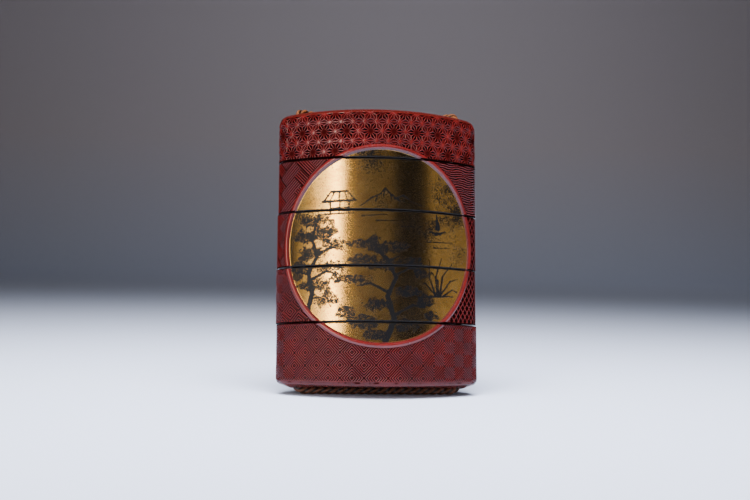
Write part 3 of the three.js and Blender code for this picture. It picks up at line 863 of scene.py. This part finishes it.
def cordRoute():
    side = hollow["channelX"]
    under = -(cord["bedRadius"] - cord["sunk"])
    over = body["height"] + cord["bedRadius"] + cord["lift"]
    crest = over + cord["humpRise"]
    arc = lambda r, a, b: [(r * (1 - math.cos(t)), r * math.sin(t))
                           for t in np.linspace(math.radians(a), math.radians(b), 13)]
    turn = math.radians(cord["topTurn"])
    inX, inY = -math.cos(turn), math.sin(turn)
    right = [(0, 0, under)]
    right += [(side - inward, 0, under + cord["baseBend"] + up)
              for inward, up in arc(cord["baseBend"], -90, 0)]
    right += [(side + inward * inX, inward * inY, crest - cord["topBend"] + up)
              for inward, up in arc(cord["topBend"], 0, 90)]
    # Then straight on, easing into the run across the lid.
    fromX, fromY = side + cord["topBend"] * inX, cord["topBend"] * inY
    reach = (cord["bow"] - fromY) / inY
    cornerX = fromX + reach * inX
    for t in np.linspace(0, 1, 13)[1:]:
        x = (1 - t) ** 2 * fromX + 2 * t * (1 - t) * cornerX + t * t * (cornerX - reach)
        y = (1 - t) ** 2 * fromY + (1 - (1 - t) ** 2) * cord["bow"]
        right.append((x, y, crest - cord["humpRise"] * t * t * (3 - 2 * t)))
    right.append((0, cord["bow"], over))
    left = [(-x, y, z) for x, y, z in reversed(right[1:-1])]
    return np.array(right + left)


def makeCord():
    route = cordRoute()
    closed = np.vstack([route, route[:1]])
    lengths = np.concatenate([[0], np.cumsum(np.linalg.norm(np.diff(closed, axis=0), axis=1))])
    total = lengths[-1]
    count = round(total / cord["step"])
    at = np.arange(count) * total / count
    line = np.stack([np.interp(at, lengths, closed[:, k]) for k in range(3)], axis=1)
    line = (np.roll(line, 1, axis=0) + 2 * line + np.roll(line, -1, axis=0)) / 4
    along = np.roll(line, -1, axis=0) - np.roll(line, 1, axis=0)
    along /= np.linalg.norm(along, axis=1)[:, None]
    across = np.cross([0, 1, 0], along)
    across /= np.linalg.norm(across, axis=1)[:, None]
    other = np.cross(along, across)
    turns = round(total / cord["lay"])
    offset, strand = cord["strandOffset"], cord["radius"] - cord["strandOffset"]
    around = np.arange(cord["sides"]) * 2 * math.pi / cord["sides"]
    twist = 2 * math.pi * turns * np.arange(count)[:, None] / count
    inStrand = np.mod(around + cord["hand"] * twist + math.pi / 3, 2 * math.pi / 3) - math.pi / 3
    radius = offset * np.cos(inStrand) + np.sqrt(strand ** 2 - (offset * np.sin(inStrand)) ** 2)
    points = line[:, None] + across[:, None] * (radius * np.cos(around))[..., None]
    points = points + other[:, None] * (radius * np.sin(around))[..., None]
    crest = (radius - radius.min()) / (radius.max() - radius.min())
    extras = np.zeros((points.shape[0] * points.shape[1], 4))
    extras[:, 0] = crest.reshape(-1)
    data = MeshData()
    rings = data.add(placed(points.reshape(-1, 3)), extras).reshape(count, cord["sides"])
    for k in range(count):
        data.quads(rings[k], rings[(k + 1) % count], 0, smooth=True)
    piece = data.build("cord_twisted", [cordSilk], ["strandHeight"])
    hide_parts("cord")
    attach(piece, "root")
    print("made cord", round(total, 1), "mm long,", turns, "turns")


makeCord()

# Floor, backdrop, lights and camera

studio = {
    "floorColour": "#c6d1ee",
    "floorPatches": "#cbd5f0",
    "wallColour": "#dcd6e2",
    "reach": 1.3,            # how far behind the object the floor turns up into the backdrop
    "bend": 0.9,
    "wallHeight": 3.0,
    "halfWidth": 4.0,
}


def sweepFloor():
    data = MeshData()
    profile = [(-1.5, 0.0), (studio["reach"], 0.0)]
    profile += [(studio["reach"] + studio["bend"] * math.sin(t), studio["bend"] * (1 - math.cos(t)))
                for t in np.linspace(0, math.pi / 2, 24)[1:]]
    profile += [(studio["reach"] + studio["bend"], studio["wallHeight"])]
    rows = [data.add([[-studio["halfWidth"], y, z], [studio["halfWidth"], y, z]]) for y, z in profile]
    for low, high in zip(rows, rows[1:]):
        data.face([[low[0], low[1], high[1], high[0]]], 0, True)
    paper = newMaterial("matteBackdropPaper")
    place = addNode(paper, "TexCoord", give="Object")
    patches = addNode(paper, "TexNoise", {"Vector": place, "Scale": 3, "Detail": 2})
    floor = addNode(paper, "Mix", {"Factor": patches, "A": linear(studio["floorColour"]),
                                   "B": linear(studio["floorPatches"])}, data_type="RGBA")
    height = addNode(paper, "SeparateXYZ", {0: place}, "Z")
    upTheWall = addNode(paper, "MapRange", {"Value": height, "From Max": 0.25})
    tone = addNode(paper, "Mix", {"Factor": upTheWall, "A": floor, "B": linear(studio["wallColour"])},
                   data_type="RGBA")
    setSurface(paper, {"Base Color": tone, "Roughness": 0.7})
    return data.build("studio_floor", [paper], [])


sweepFloor()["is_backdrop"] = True

viewpoint = {
    "azimuth": 6.18,         # the camera stands a little to the left of the front
    "roll": 1.10,
    "distance": 354.0,
    "eyeHeight": 40.98,
    "aside": 0.57,
    "focalPixels": 1194.0,
    "imageWidth": 750,
    "sensor": 36.0,
}


def makeCamera():
    v = viewpoint
    az, roll = math.radians(v["azimuth"]), math.radians(v["roll"])
    right = Vector((math.cos(az) * math.cos(roll), -math.sin(az) * math.cos(roll), math.sin(roll)))
    up = Vector((-math.cos(az) * math.sin(roll), math.sin(az) * math.sin(roll), math.cos(roll)))
    ahead = Vector((math.sin(az), math.cos(az), 0))
    place = Vector(stance["foot"]) - v["aside"] * right + v["eyeHeight"] * up - v["distance"] * ahead
    cam = bpy.data.cameras.new("camera")
    cam.sensor_width = v["sensor"]
    cam.lens = v["focalPixels"] / v["imageWidth"] * v["sensor"]
    cam.clip_start = 0.01
    holder = bpy.data.objects.new("camera", cam)
    turned = Matrix((right, up, -ahead)).transposed().to_4x4()
    holder.matrix_world = Matrix.Translation(place * mm) @ turned
    bpy.context.scene.collection.objects.link(holder)
    bpy.context.scene.camera = holder


makeCamera()

# Each light: angle to the right of the camera's line, distance, height, width, tall, how bright its face is,
# its colour where it isn't white, how wide it spreads where it has a grid over it, and whether it shows as a
# reflection. Three on the left share one edge, so that together they are a box that grows brighter to it.
softboxes = {
    "leftCore": {"angle": -24.7, "distance": 0.8, "height": 0.3, "width": 0.12, "tall": 0.55, "bright": 17.0,
                 "colour": "#fff2de"},
    "leftHalf": {"angle": -31.0, "distance": 0.8, "height": 0.3, "width": 0.3, "tall": 0.55, "bright": 3.4,
                 "colour": "#fff2de"},
    "leftWide": {"angle": -37.4, "distance": 0.8, "height": 0.3, "width": 0.49, "tall": 0.55,
                 "bright": 0.8},
    "frontPanel": {"angle": 4.5, "distance": 1.3, "height": 0.45, "width": 0.8, "tall": 0.9,
                   "bright": 0.17},
    "rightBox": {"angle": 71.6, "distance": 0.8, "height": 0.3, "width": 0.6, "tall": 0.6, "bright": 0.42},
    "topBox": {"angle": 0, "distance": 0.14, "height": 0.42, "width": 0.4, "tall": 0.35, "bright": 9.3,
               "spread": 100, "seen": False},
}
backdropGlow = {"size": 0.5, "energy": 1.55, "place": (0.3, 1.2, 1.0), "aim": (0.35, 1.85, 0.05)}
roomLight = {"colour": "#8d9299", "strength": 0.05}


def hangLight(light, place, aim):
    holder = bpy.data.objects.new(light.name, light)
    turned = (aim - place).to_track_quat("-Z", "Y").to_matrix().to_4x4()
    holder.matrix_world = Matrix.Translation(place) @ turned
    bpy.context.scene.collection.objects.link(holder)
    return holder


def makeLights():
    centre = Vector((0, 0, 0.042))
    toCamera = math.radians(180 + viewpoint["azimuth"])
    for name, box in softboxes.items():
        angle = toCamera - math.radians(box["angle"])
        place = Vector((math.sin(angle), math.cos(angle), 0)) * box["distance"]
        place = place + Vector((0, 0, box["height"]))
        light = bpy.data.lights.new(name, "AREA")
        light.shape = "RECTANGLE"
        light.size, light.size_y = box["width"], box["tall"]
        light.energy = box["bright"] * math.pi * box["width"] * box["tall"]
        light.spread = math.radians(box.get("spread", 180))
        light.color = linear(box.get("colour", "#ffffff"))[:3]
        hangLight(light, place, centre).visible_glossy = box.get("seen", True)
    glow = bpy.data.lights.new("backdropGlow", "AREA")
    glow.size, glow.energy = backdropGlow["size"], backdropGlow["energy"]
    hangLight(glow, Vector(backdropGlow["place"]), Vector(backdropGlow["aim"]))
    world = bpy.data.worlds.new("studio")
    world.use_nodes = True
    back = world.node_tree.nodes["Background"]
    back.inputs["Color"].default_value = linear(roomLight["colour"])
    back.inputs["Strength"].default_value = roomLight["strength"]
    bpy.context.scene.world = world


makeLights()
print("stage and camera ready")

{"cad": cadBounds, "visual": [list(corner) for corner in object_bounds()]}
